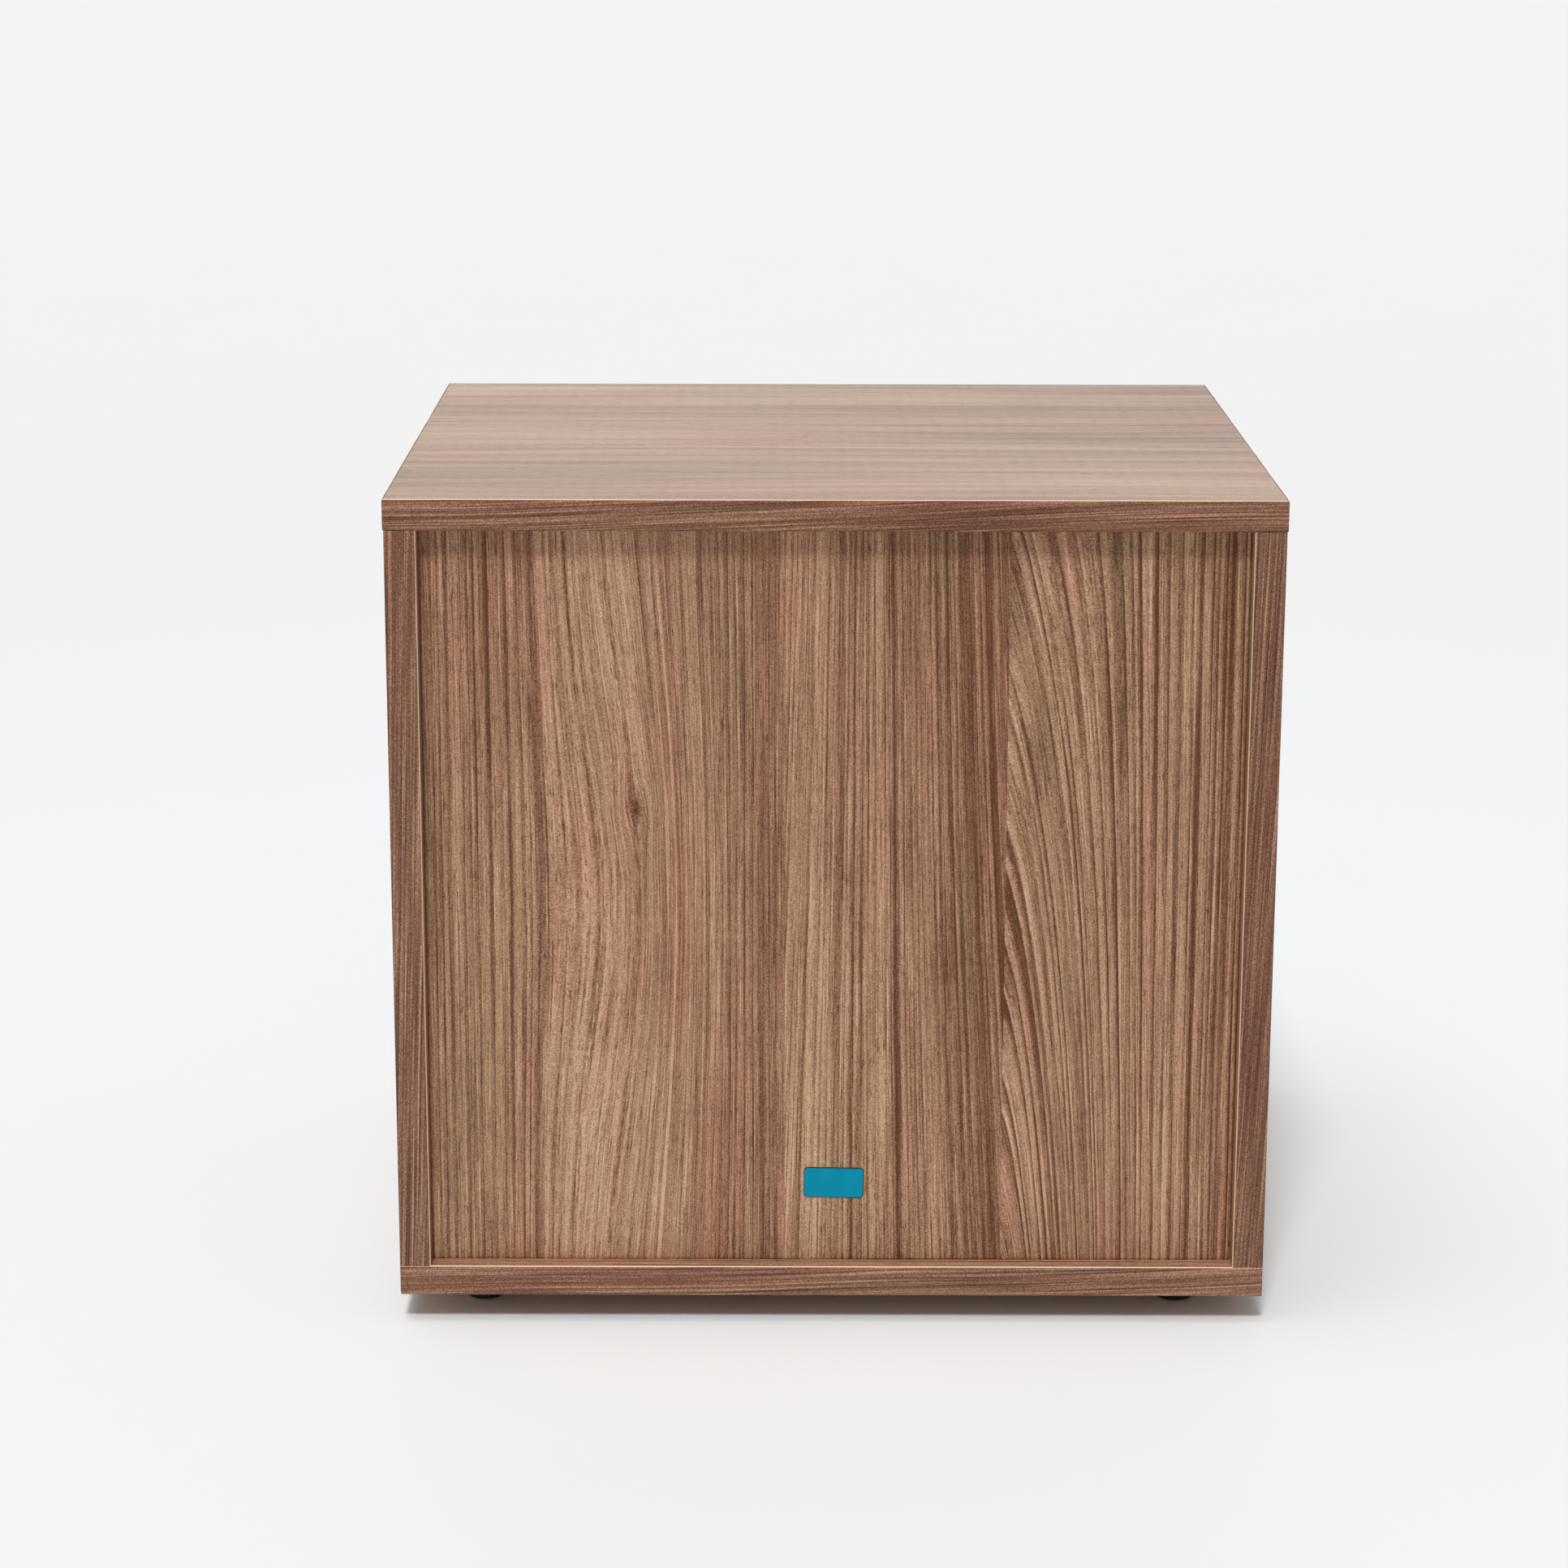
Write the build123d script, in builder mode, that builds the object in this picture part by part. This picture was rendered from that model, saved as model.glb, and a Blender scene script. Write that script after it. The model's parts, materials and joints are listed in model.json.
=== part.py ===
"""Cube storage unit: an open box of laminated board on four levelling feet.

Millimetres, +Z up. The origin is on the floor under the middle of the unit.
The closed back faces -Y, the open front faces +Y, and left is -X.
"""

import os
from math import asin, degrees, hypot

from build123d import *

# Overall sizes
WIDTH = 450.0  # over the top board, left to right
DEPTH = 400.0  # over the edge bands, front to rear
BODY_HEIGHT = 420.0  # underside of the bottom board to the top face
FOOT_HEIGHT = 15.0  # floor to the underside of the bottom board

# Boards and their edge bands
BOARD = 16.0
BAND = 1.0
BAND_FLAT = 0.2  # flat left on the thickness of a band beside its rounding
TOP_OVERHANG = 0.5  # top board past each side board

# Back panel, held in a groove all round
BACK = 8.0
BACK_RECESS = 11.0  # rear edge of the unit to the face of the panel
GROOVE_DEPTH = 7.0
GROOVE_PLAY = 0.5  # panel edge to the bottom of the groove
PANEL_CLEARANCE = 0.1  # panel face to the wall of the groove

# Plain plate on the face of the back panel
PLATE_WIDTH = 31.0
PLATE_HEIGHT = 16.2
PLATE_THICKNESS = 0.8
PLATE_CORNER = 2.0
PLATE_X = 1.0
PLATE_ABOVE = 58.6  # plate centre above the underside of the bottom board
PLATE_TILT = -1.0  # degrees, as seen from behind the unit

# Cam locks in the side boards and their bolts in the top and bottom boards
CAM_DIAMETER = 15.0
CAM_CLEARANCE = 0.1
CAM_SUNK = 0.3  # face of the board to the face of the cam
CAM_SKIN = 3.2  # board left behind the hole of a cam
CAM_INSET = 70.0  # front or rear edge of the unit to a cam axis
CAM_BACKSET = 24.0  # end of the side board to a cam axis
CAM_THROW = 0.9  # offset of the track that draws the bolt in
TRACK_CLEARANCE = 0.1  # head of the bolt to the track
ENTRY_CLEARANCE = 0.2  # head of the bolt to the entry of the cam
NECK_SLOT_CLEARANCE = 0.2
NECK_SLOT_END = 270.0  # degrees round the cam, with the bolt at 90 and the entry at 270
DRIVE_LENGTH = 8.0
DRIVE_WIDTH = 1.6
DRIVE_DEPTH = 2.5
HEAD_DIAMETER = 6.4
HEAD_LENGTH = 5.4
HEAD_SHOULDER = 0.2  # flat left between the neck and the bevel of the head
NECK_DIAMETER = 3.6
SHANK_DIAMETER = 6.0
SHANK_HOLE_CLEARANCE = 0.5
RIM_GAP = 0.8  # shoulder of the shank to the rim of the cam
THREAD_DIAMETER = 6.3
THREAD_CLEARANCE = 0.05
BOLT_POINT = 0.8  # chamfer on the tip of the thread

# Cover caps over the cams
CAP_OVERLAP = 1.2  # rim of a cap past the hole of its cam
CAP_THICKNESS = 1.2
CAP_BEVEL = 0.5
PLUG_CLEARANCE = 0.15  # plug of the cap in the drive of the cam
PLUG_END_GAP = 0.3

# Wooden dowels beside the cam locks
DOWEL_DIAMETER = 8.0
DOWEL_CLEARANCE = 0.05
DOWEL_IN_SIDE = 20.0
DOWEL_PITCH = 32.0  # cam axis to the dowel beside it
DOWEL_CHAMFER = 1.0
HOLE_SKIN = 4.5  # board left over a blind hole in the top or bottom board
HOLE_PLAY = 0.5  # end of a dowel or a bolt to the bottom of its hole

# Levelling feet and the threaded sockets that take them
FOOT_INSET = 42.0  # side of the unit to a foot axis
FOOT_AHEAD = 22.0  # inner face of the back panel to a rear foot axis
SOCKET_DIAMETER = 10.0
SOCKET_CLEARANCE = 0.05
SOCKET_SKIN = 3.0  # board left over the hole of a socket
SOCKET_PLAY = 0.5
SOCKET_LEAD = 0.8  # chamfer that leads the socket into its hole
FLANGE_DIAMETER = 16.0
FLANGE_THICKNESS = 1.0
STUD_DIAMETER = 6.0
STUD_CLEARANCE = 0.1
STUD_END_GAP = 0.5  # tip of the stud to the top of its hole
STUD_POINT = 0.8
NUT_ACROSS = 10.0
NUT_HEIGHT = 4.0
PAD_DIAMETER = 20.0
PAD_GAP = 0.3  # top of the pad to the nut of the stud
PAD_FLOOR = 1.5  # sole of the pad to the seat of the button
PAD_SOLE_BEVEL = 1.0
PAD_RIM_BEVEL = 0.8
BUTTON_DIAMETER = 10.0
BUTTON_HEIGHT = 2.0
BUTTON_CLEARANCE = 0.3
BUTTON_PLAY = 0.2

# Levels and places that follow from these sizes
LEFT, RIGHT = -1, 1
REAR, FRONT = -1, 1
DOWN, UP = -1, 1

edge_round = BAND - BAND_FLAT
bottom_low = FOOT_HEIGHT
bottom_high = FOOT_HEIGHT + BOARD
top_high = FOOT_HEIGHT + BODY_HEIGHT
top_low = top_high - BOARD
side_height = top_low - bottom_high
core_depth = DEPTH - 2 * BAND
bottom_width = WIDTH - 2 * TOP_OVERHANG
inner_x = bottom_width / 2 - BOARD
middle_x = inner_x + BOARD / 2

back_face_y = BACK_RECESS - DEPTH / 2
groove_y = back_face_y + BACK / 2
groove_width = BACK + 2 * PANEL_CLEARANCE
panel_reach = GROOVE_DEPTH - GROOVE_PLAY
panel_width = 2 * (inner_x + panel_reach)
panel_height = side_height + 2 * panel_reach

cam_y = DEPTH / 2 - CAM_INSET
dowel_y = cam_y - DOWEL_PITCH
cam_hole_radius = CAM_DIAMETER / 2 + CAM_CLEARANCE
cam_hole_depth = BOARD - CAM_SKIN
cam_height = cam_hole_depth - CAM_SUNK - CAM_CLEARANCE
shoulder_radius = NECK_DIAMETER / 2 + HEAD_SHOULDER
head_bevel = HEAD_DIAMETER / 2 - shoulder_radius
head_reach = HEAD_LENGTH / 2 + CAM_THROW
track_reach = max(hypot(shoulder_radius, head_reach), hypot(HEAD_DIAMETER / 2, head_reach - head_bevel))
track_radius = track_reach + TRACK_CLEARANCE
neck_slot_half = NECK_DIAMETER / 2 + NECK_SLOT_CLEARANCE
neck_slot_start = 90 - degrees(asin(neck_slot_half / (HEAD_DIAMETER / 2)))
neck_slot_sweep = NECK_SLOT_END - neck_slot_start
blind_depth = BOARD - HOLE_SKIN

socket_depth = BOARD - SOCKET_SKIN
socket_length = socket_depth - SOCKET_PLAY
foot_x = WIDTH / 2 - FOOT_INSET
foot_y = DEPTH / 2 - BACK_RECESS - BACK - FOOT_AHEAD
nut_high = FOOT_HEIGHT - FLANGE_THICKNESS
nut_low = nut_high - NUT_HEIGHT
pad_height = nut_low - PAD_GAP
stud_high = bottom_low + socket_depth - STUD_END_GAP


def finish(piece: BuildPart, name: str) -> None:
    """Label a finished piece and write its STEP file."""
    piece.part.label = name
    export_step(piece.part, f"parts/{name}.step")


def flat_board(width: float, low: float, joint_level: float, inward: int) -> BuildPart:
    """Core of the top or bottom board, grooved and drilled on its joint face."""
    joint_face = Plane.XY.offset(joint_level)
    with BuildPart() as board:
        with BuildSketch(Plane.XY.offset(low)):
            Rectangle(width - 2 * BAND, core_depth)
        extrude(amount=BOARD)
        with BuildSketch(joint_face):
            with Locations((0, groove_y)):
                Rectangle(panel_width + 2 * GROOVE_PLAY, groove_width)
        extrude(amount=inward * GROOVE_DEPTH, mode=Mode.SUBTRACT)
        with BuildSketch(joint_face):
            with GridLocations(2 * middle_x, 2 * cam_y, 2, 2):
                Circle(THREAD_DIAMETER / 2 + THREAD_CLEARANCE)
            with GridLocations(2 * middle_x, 2 * dowel_y, 2, 2):
                Circle(DOWEL_DIAMETER / 2 + DOWEL_CLEARANCE)
        extrude(amount=inward * blind_depth, mode=Mode.SUBTRACT)
    return board


def side_board(side: int) -> BuildPart:
    """Side board between top and bottom, with its groove, cam holes and end holes."""
    with BuildPart() as board:
        with BuildSketch(Plane.XY.offset(bottom_high)):
            with Locations((side * middle_x, 0)):
                Rectangle(BOARD, core_depth)
        extrude(amount=side_height)
        with BuildSketch(Plane.XY.offset(bottom_high)):
            with Locations((side * (inner_x + GROOVE_DEPTH / 2), groove_y)):
                Rectangle(GROOVE_DEPTH, groove_width)
        extrude(amount=side_height, mode=Mode.SUBTRACT)
        middle_z = (bottom_high + top_low) / 2
        with BuildSketch(Plane((side * inner_x, 0, middle_z), x_dir=(0, 1, 0), z_dir=(1, 0, 0))):
            with GridLocations(2 * cam_y, side_height - 2 * CAM_BACKSET, 2, 2):
                Circle(cam_hole_radius)
        extrude(amount=side * cam_hole_depth, mode=Mode.SUBTRACT)
        for level, inward in ((bottom_high, UP), (top_low, DOWN)):
            with BuildSketch(Plane.XY.offset(level)):
                with Locations((side * middle_x, -cam_y), (side * middle_x, cam_y)):
                    Circle(SHANK_DIAMETER / 2 + SHANK_HOLE_CLEARANCE)
            extrude(amount=inward * CAM_BACKSET, mode=Mode.SUBTRACT)
            with BuildSketch(Plane.XY.offset(level)):
                with Locations((side * middle_x, -dowel_y), (side * middle_x, dowel_y)):
                    Circle(DOWEL_DIAMETER / 2 + DOWEL_CLEARANCE)
            extrude(amount=inward * (DOWEL_IN_SIDE + HOLE_PLAY), mode=Mode.SUBTRACT)
    return board


def end_band(width: float, low: float, end: int) -> BuildPart:
    """Band over the whole front or rear edge of a flat board, rounded all round its face."""
    with BuildPart() as band:
        with BuildSketch(Plane.XY.offset(low)):
            with Locations((0, end * (DEPTH - BAND) / 2)):
                Rectangle(width, BAND)
        extrude(amount=BOARD)
        glued_face = band.faces().sort_by(Axis.Y)[0 if end == FRONT else -1]
        fillet(band.edges() - glued_face.edges(), edge_round)
    return band


def flank_band(width: float, low: float, side: int) -> BuildPart:
    """Band over the left or right edge of a flat board, between its front and rear bands."""
    with BuildPart() as band:
        with BuildSketch(Plane.XY.offset(low)):
            with Locations((side * (width - BAND) / 2, 0)):
                Rectangle(BAND, core_depth)
        extrude(amount=BOARD)
        outer_face = band.faces().sort_by(Axis.X)[-1 if side == RIGHT else 0]
        fillet(outer_face.edges().filter_by(Axis.Y), edge_round)
    return band


def upright_band(side: int, end: int) -> BuildPart:
    """Band over the front or rear edge of a side board."""
    with BuildPart() as band:
        with BuildSketch(Plane.XY.offset(bottom_high)):
            with Locations((side * middle_x, end * (DEPTH - BAND) / 2)):
                Rectangle(BOARD, BAND)
        extrude(amount=side_height)
        outer_face = band.faces().sort_by(Axis.Y)[-1 if end == FRONT else 0]
        fillet(outer_face.edges().filter_by(Axis.Z), edge_round)
    return band


def cam_lock() -> BuildPart:
    """Cam of one lock: its face looks along +Z and its bolt comes in along +Y."""
    bolt_level = Plane.XY.offset(-BOARD / 2)
    with BuildPart() as cam:
        with BuildSketch(Plane.XY.offset(-CAM_SUNK)):
            Circle(CAM_DIAMETER / 2)
        extrude(amount=-cam_height)
        with BuildSketch(bolt_level):
            with Locations((0, -CAM_THROW)):
                Circle(track_radius)
        extrude(amount=HEAD_DIAMETER / 2 + TRACK_CLEARANCE, both=True, mode=Mode.SUBTRACT)
        with BuildSketch(bolt_level):
            with BuildLine():
                inside = CenterArc((0, 0), HEAD_DIAMETER / 2, neck_slot_start, neck_slot_sweep)
                outside = CenterArc((0, 0), CAM_DIAMETER, neck_slot_start, neck_slot_sweep)
                Line(inside @ 0, outside @ 0)
                Line(inside @ 1, outside @ 1)
            make_face()
        extrude(amount=neck_slot_half, both=True, mode=Mode.SUBTRACT)
        with BuildSketch(Plane((0, 0, -BOARD / 2), x_dir=(1, 0, 0), z_dir=(0, -1, 0))):
            Circle(HEAD_DIAMETER / 2 + ENTRY_CLEARANCE)
        extrude(amount=CAM_DIAMETER, mode=Mode.SUBTRACT)
        with BuildSketch(Plane.XY.offset(-CAM_SUNK)):
            Rectangle(DRIVE_LENGTH, DRIVE_WIDTH)
            Rectangle(DRIVE_WIDTH, DRIVE_LENGTH)
        extrude(amount=-DRIVE_DEPTH, mode=Mode.SUBTRACT)
    return cam


def cam_bolt() -> BuildPart:
    """Bolt of one lock: its thread runs up from the board face and its head hangs in the cam."""
    shank_length = CAM_BACKSET - CAM_DIAMETER / 2 - RIM_GAP
    with BuildPart() as bolt:
        with BuildSketch(Plane.XY):
            Circle(THREAD_DIAMETER / 2)
        extrude(amount=blind_depth - HOLE_PLAY)
        chamfer(bolt.edges().sort_by(Axis.Z)[-1], BOLT_POINT)
        with BuildSketch(Plane.XY):
            Circle(SHANK_DIAMETER / 2)
        extrude(amount=-shank_length)
        with BuildSketch(Plane.XY):
            Circle(NECK_DIAMETER / 2)
        extrude(amount=-CAM_BACKSET)
        with BuildSketch(Plane.XY.offset(-CAM_BACKSET)):
            Circle(HEAD_DIAMETER / 2)
        extrude(amount=HEAD_LENGTH / 2, both=True)
        head_rims = bolt.edges(Select.LAST).filter_by(GeomType.CIRCLE).sort_by(SortBy.RADIUS)[-2:]
        chamfer(head_rims, head_bevel)
    return bolt


def cover_cap() -> BuildPart:
    """Cap over one cam: a thin bevelled disc with a cross plug that grips the drive."""
    plug_length = CAM_SUNK + DRIVE_DEPTH - PLUG_END_GAP
    long_side = DRIVE_LENGTH - 2 * PLUG_CLEARANCE
    short_side = DRIVE_WIDTH - 2 * PLUG_CLEARANCE
    with BuildPart() as cap:
        with BuildSketch(Plane.XY):
            Circle(cam_hole_radius + CAP_OVERLAP)
        extrude(amount=CAP_THICKNESS)
        chamfer(cap.edges().sort_by(Axis.Z)[-1], CAP_BEVEL)
        with BuildSketch(Plane.XY):
            Rectangle(long_side, short_side)
            Rectangle(short_side, long_side)
        extrude(amount=-plug_length)
    return cap


def dowel() -> BuildPart:
    """Dowel with chamfered ends, standing across the joint at the board face."""
    in_board = blind_depth - HOLE_PLAY
    with BuildPart() as pin:
        with BuildSketch(Plane.XY.offset(-DOWEL_IN_SIDE)):
            Circle(DOWEL_DIAMETER / 2)
        extrude(amount=DOWEL_IN_SIDE + in_board)
        chamfer(pin.edges().filter_by(GeomType.CIRCLE), DOWEL_CHAMFER)
    return pin


def foot_pad(axis: Plane) -> BuildPart:
    """Round pad of one foot, with the undercut seat that its stud turns in."""
    with BuildPart() as pad:
        with BuildSketch(axis):
            Circle(PAD_DIAMETER / 2)
        extrude(amount=pad_height)
        chamfer(pad.edges().sort_by(Axis.Z)[0], PAD_SOLE_BEVEL)
        chamfer(pad.edges().sort_by(Axis.Z)[-1], PAD_RIM_BEVEL)
        with BuildSketch(axis.offset(PAD_FLOOR)):
            Circle(BUTTON_DIAMETER / 2 + BUTTON_CLEARANCE)
        extrude(amount=BUTTON_HEIGHT + BUTTON_PLAY, mode=Mode.SUBTRACT)
        with BuildSketch(axis.offset(PAD_FLOOR)):
            Circle(STUD_DIAMETER / 2 + STUD_CLEARANCE)
        extrude(amount=pad_height - PAD_FLOOR, mode=Mode.SUBTRACT)
    return pad


def foot_stud(axis: Plane) -> BuildPart:
    """Threaded stud of one foot, with its button end in the pad and a nut to turn it by."""
    with BuildPart() as stud:
        with BuildSketch(axis.offset(PAD_FLOOR)):
            Circle(STUD_DIAMETER / 2)
        extrude(amount=stud_high - PAD_FLOOR)
        chamfer(stud.edges().sort_by(Axis.Z)[-1], STUD_POINT)
        with BuildSketch(axis.offset(PAD_FLOOR)):
            Circle(BUTTON_DIAMETER / 2)
        extrude(amount=BUTTON_HEIGHT)
        with BuildSketch(axis.offset(nut_low)):
            RegularPolygon(NUT_ACROSS / 2, 6, major_radius=False)
        extrude(amount=NUT_HEIGHT)
    return stud


os.makedirs("parts", exist_ok=True)

# Boards
finish(flat_board(WIDTH, top_low, top_low, UP), "top_board")

bottom_core = flat_board(bottom_width, bottom_low, bottom_high, DOWN)
with BuildPart() as bottom_board:
    add(bottom_core.part)
    with BuildSketch(Plane.XY.offset(bottom_low)):
        with GridLocations(2 * foot_x, 2 * foot_y, 2, 2):
            Circle(SOCKET_DIAMETER / 2 + SOCKET_CLEARANCE)
    extrude(amount=socket_depth, mode=Mode.SUBTRACT)
finish(bottom_board, "bottom_board")

for side, side_name in ((LEFT, "left"), (RIGHT, "right")):
    finish(side_board(side), f"{side_name}_side_board")

with BuildPart() as back_panel:
    with BuildSketch(Plane.XY.offset(bottom_high - panel_reach)):
        with Locations((0, groove_y)):
            Rectangle(panel_width, BACK)
    extrude(amount=panel_height)
finish(back_panel, "back_panel")

# Edge bands
for board_name, width, low in (("top", WIDTH, top_low), ("bottom", bottom_width, bottom_low)):
    for end, end_name in ((REAR, "rear"), (FRONT, "front")):
        finish(end_band(width, low, end), f"{board_name}_{end_name}_edge_band")
    for side, side_name in ((LEFT, "left"), (RIGHT, "right")):
        finish(flank_band(width, low, side), f"{board_name}_{side_name}_edge_band")

for side, side_name in ((LEFT, "left"), (RIGHT, "right")):
    for end, end_name in ((REAR, "rear"), (FRONT, "front")):
        finish(upright_band(side, end), f"{side_name}_side_{end_name}_edge_band")

# Joint fittings, two cam locks and two dowels to each of the four joints
cam_planes = []
bolt_planes = []
dowel_planes = []
for side in (LEFT, RIGHT):
    for end in (REAR, FRONT):
        for level, outward in ((bottom_high, DOWN), (top_low, UP)):
            cam_centre = (side * inner_x, end * cam_y, level - outward * CAM_BACKSET)
            cam_planes.append(Plane(cam_centre, x_dir=(0, -outward * side, 0), z_dir=(-side, 0, 0)))
            bolt_planes.append(Plane((side * middle_x, end * cam_y, level), z_dir=(0, 0, outward)))
            dowel_planes.append(Plane((side * middle_x, end * dowel_y, level), z_dir=(0, 0, outward)))

for fitting, planes, fitting_name in (
    (cam_lock(), cam_planes, "cam_locks"),
    (cam_bolt(), bolt_planes, "cam_bolts"),
    (cover_cap(), cam_planes, "cam_cover_caps"),
    (dowel(), dowel_planes, "joint_dowels"),
):
    with BuildPart() as fittings:
        with Locations(*planes):
            add(fitting.part)
    finish(fittings, fitting_name)

# Threaded sockets pressed into the bottom board
with BuildPart() as foot_sockets:
    with BuildSketch(Plane.XY.offset(bottom_low)):
        with GridLocations(2 * foot_x, 2 * foot_y, 2, 2):
            Circle(SOCKET_DIAMETER / 2)
    extrude(amount=socket_length)
    chamfer(foot_sockets.edges().group_by(Axis.Z)[-1], SOCKET_LEAD)
    with BuildSketch(Plane.XY.offset(bottom_low)):
        with GridLocations(2 * foot_x, 2 * foot_y, 2, 2):
            Circle(FLANGE_DIAMETER / 2)
    extrude(amount=-FLANGE_THICKNESS)
    with BuildSketch(Plane.XY.offset(nut_high)):
        with GridLocations(2 * foot_x, 2 * foot_y, 2, 2):
            Circle(STUD_DIAMETER / 2 + STUD_CLEARANCE)
    extrude(amount=FLANGE_THICKNESS + socket_length, mode=Mode.SUBTRACT)
finish(foot_sockets, "foot_sockets")

# Levelling feet
for end, end_name in ((REAR, "rear"), (FRONT, "front")):
    for side, side_name in ((LEFT, "left"), (RIGHT, "right")):
        foot_axis = Plane((side * foot_x, end * foot_y, 0))
        finish(foot_pad(foot_axis), f"{end_name}_{side_name}_foot_pad")
        finish(foot_stud(foot_axis), f"{end_name}_{side_name}_foot_stud")

# Plate on the back panel
plate_centre = (PLATE_X, back_face_y, FOOT_HEIGHT + PLATE_ABOVE)
with BuildPart() as back_plate:
    with BuildSketch(Plane(plate_centre, x_dir=(1, 0, 0), z_dir=(0, -1, 0))):
        RectangleRounded(PLATE_WIDTH, PLATE_HEIGHT, PLATE_CORNER, rotation=PLATE_TILT)
    extrude(amount=PLATE_THICKNESS)
finish(back_plate, "back_plate")
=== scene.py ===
"""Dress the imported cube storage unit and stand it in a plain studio.

Row frame in metres, +Z up. The closed back faces -Y, which is the side the camera sees.
Sizes in the classes are millimetres, and so are the sizes of every printed mark.
"""

import json
import logging
import math
from collections.abc import Sequence
from dataclasses import dataclass, replace
from enum import Enum

import bmesh
import bpy
from mathutils import Matrix, Vector

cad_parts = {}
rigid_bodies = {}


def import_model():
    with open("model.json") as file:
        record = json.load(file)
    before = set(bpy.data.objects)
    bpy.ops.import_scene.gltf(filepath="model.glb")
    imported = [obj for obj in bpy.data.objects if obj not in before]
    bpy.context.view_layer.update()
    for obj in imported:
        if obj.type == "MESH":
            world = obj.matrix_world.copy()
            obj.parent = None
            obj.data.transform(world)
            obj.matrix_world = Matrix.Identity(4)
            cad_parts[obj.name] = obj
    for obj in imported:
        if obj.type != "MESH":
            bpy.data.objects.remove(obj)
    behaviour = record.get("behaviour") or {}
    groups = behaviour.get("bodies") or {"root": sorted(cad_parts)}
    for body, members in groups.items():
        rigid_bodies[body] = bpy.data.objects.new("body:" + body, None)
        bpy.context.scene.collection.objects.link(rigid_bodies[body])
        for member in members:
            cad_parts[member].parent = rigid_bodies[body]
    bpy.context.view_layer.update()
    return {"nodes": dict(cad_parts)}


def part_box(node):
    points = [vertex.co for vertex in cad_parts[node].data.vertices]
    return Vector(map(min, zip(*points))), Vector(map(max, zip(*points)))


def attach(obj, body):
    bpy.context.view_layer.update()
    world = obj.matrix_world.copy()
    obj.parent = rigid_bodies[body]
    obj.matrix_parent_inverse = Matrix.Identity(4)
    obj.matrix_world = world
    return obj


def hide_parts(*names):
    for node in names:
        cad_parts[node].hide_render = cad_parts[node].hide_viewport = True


for startup_object in list(bpy.data.objects):
    bpy.data.objects.remove(startup_object)

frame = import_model()

logging.basicConfig(level=logging.INFO, format="%(message)s")
log = logging.getLogger("cube_storage_unit")

MM = 0.001
PRESSED_FACE = 0.9  # share of a normal that tells a board's face from its edges
CUT_EDGE = (0.96, 0.998)  # share of a normal where a sheet is all cut edge, and all face
DOT = 0.42  # mm, one dot of a printed picture, drawn as coarse as it takes to show
RESIN_IOR = 1.5  # melamine resin and ABS alike
MIDDLE = 0.5  # share about which soft marks lie

# Shifts of a print's layers, so that no two of them look alike.
COLUMN_SHIFT = 7.31
DASH_SHIFT = 1.0
PORE_SHIFT = 2.0
FIBRE_SHIFT = 3.7
FIRST_FIBRES = 3
CAST_SHIFT = 7.3
FADE_SHIFT = 19.0

Socket = bpy.types.NodeSocket
Input = Socket | float | Sequence[float] | None


class Axis(Enum):
    """A direction of the row frame, by its place in a vector."""

    X = 0
    Y = 1
    Z = 2


class Way(Enum):
    """A way to look, as a vector of the row frame."""

    NONE = (0.0, 0.0, 0.0)
    UP = (0.0, 0.0, 1.0)
    LEFT = (-1.0, 0.0, 0.0)
    RIGHT = (1.0, 0.0, 0.0)


class End(Enum):
    """An end of the unit."""

    REAR = "rear"
    FRONT = "front"


class Side(Enum):
    """A side of the unit, as the camera sees it."""

    LEFT = "left"
    RIGHT = "right"


def linear(hex_colour: str) -> tuple[float, float, float, float]:
    """Turn an sRGB hex colour into a linear one.

    Args:
        hex_colour: Six hex digits after a hash sign.

    Returns:
        Linear red, green and blue, and an alpha of one.
    """
    shares = [int(hex_colour[i:i + 2], 16) / 255 for i in (1, 3, 5)]
    red, green, blue = (
        s / 12.92 if s <= 0.04045 else ((s + 0.055) / 1.055) ** 2.4 for s in shares
    )
    return red, green, blue, 1.0


def add_node(
    tree: bpy.types.NodeTree,
    kind: str,
    *inputs: Input,
    out: int | str = 0,
    stops: Sequence[tuple[float, str]] = (),
    named: dict[int | str, Input] | None = None,
    **settings: object,
) -> Socket:
    """Add one shader node with its settings and links.

    Args:
        tree: Node tree that takes the node.
        kind: Node type without its common prefix.
        inputs: Values or sockets for the first inputs, in order. None leaves an input alone.
        out: Output to hand back, by place or name.
        stops: Places and hex colours of a colour ramp.
        named: Values or sockets for other inputs, by place or name.
        settings: Properties of the node.

    Returns:
        The chosen output of the new node.
    """
    made = tree.nodes.new("ShaderNode" + kind)
    for name, value in settings.items():
        setattr(made, name, value)
    for count, (place, colour) in enumerate(stops):
        ramp = made.color_ramp.elements
        stop = ramp[count] if count < len(ramp) else ramp.new(place)
        stop.position = place
        stop.color = linear(colour)
    for key, value in (*enumerate(inputs), *(named or {}).items()):
        if isinstance(value, Socket):
            tree.links.new(value, made.inputs[key])
        elif value is not None:
            made.inputs[key].default_value = value
    return made.outputs[out]


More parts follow.
